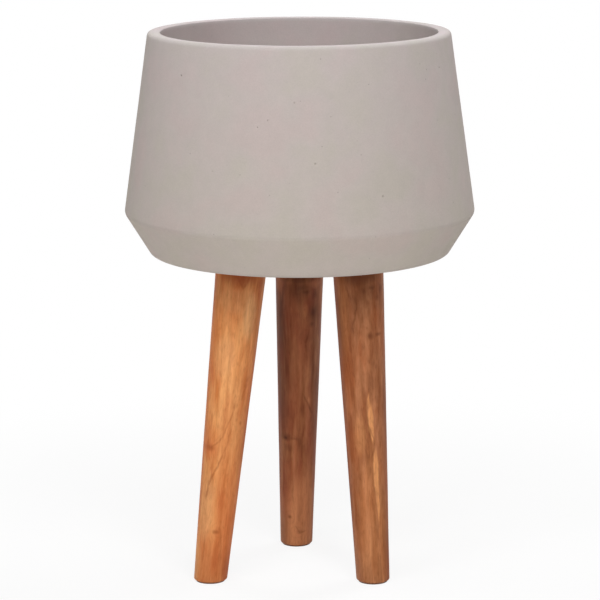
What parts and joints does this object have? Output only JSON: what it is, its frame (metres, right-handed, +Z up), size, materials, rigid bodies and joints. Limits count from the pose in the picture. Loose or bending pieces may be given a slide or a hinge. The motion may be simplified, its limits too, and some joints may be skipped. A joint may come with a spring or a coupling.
{
  "type": "planter with stand",
  "caption": "Round concrete planter pot with a crisp shoulder, on splayed tapered round teak legs, with a rubber stopper in its drain hole.",
  "frame": {"origin": "on the floor, under the pot's vertical axis", "axes": "+Z up along the pot's axis, the pictured front faces -Y, +X to the right as seen from the front"},
  "size_m": [0.3802, 0.38, 0.6],
  "materials": {
    "concrete": "matt",
    "teak_left": "oiled",
    "teak_right": "oiled",
    "teak_back": "oiled",
    "brass": "turned",
    "rubber": "moulded",
    "stainless": "satin",
    "felt": "felted"
  },
  "bodies": {
    "planter": {"pot": "concrete", "leg_left": "teak_left", "leg_insert_left": "brass", "leg_gasket_left": "rubber", "sealing_washer_left": "rubber", "steel_washer_left": "stainless", "lock_washer_left": "stainless", "leg_bolt_left": "stainless", "felt_pad_left": "felt", "leg_right": "teak_right", "leg_insert_right": "brass", "leg_gasket_right": "rubber", "sealing_washer_right": "rubber", "steel_washer_right": "stainless", "lock_washer_right": "stainless", "leg_bolt_right": "stainless", "felt_pad_right": "felt", "leg_back": "teak_back", "leg_insert_back": "brass", "leg_gasket_back": "rubber", "sealing_washer_back": "rubber", "steel_washer_back": "stainless", "lock_washer_back": "stainless", "leg_bolt_back": "stainless", "felt_pad_back": "felt"},
    "stopper": {"drain_stopper": "rubber"}
  },
  "joints": [
    {"name": "stopper_lift", "type": "slide", "parent": "planter", "child": "stopper", "axis": [0, 0, 1], "range_m": [0, 0.26]}
  ]
}
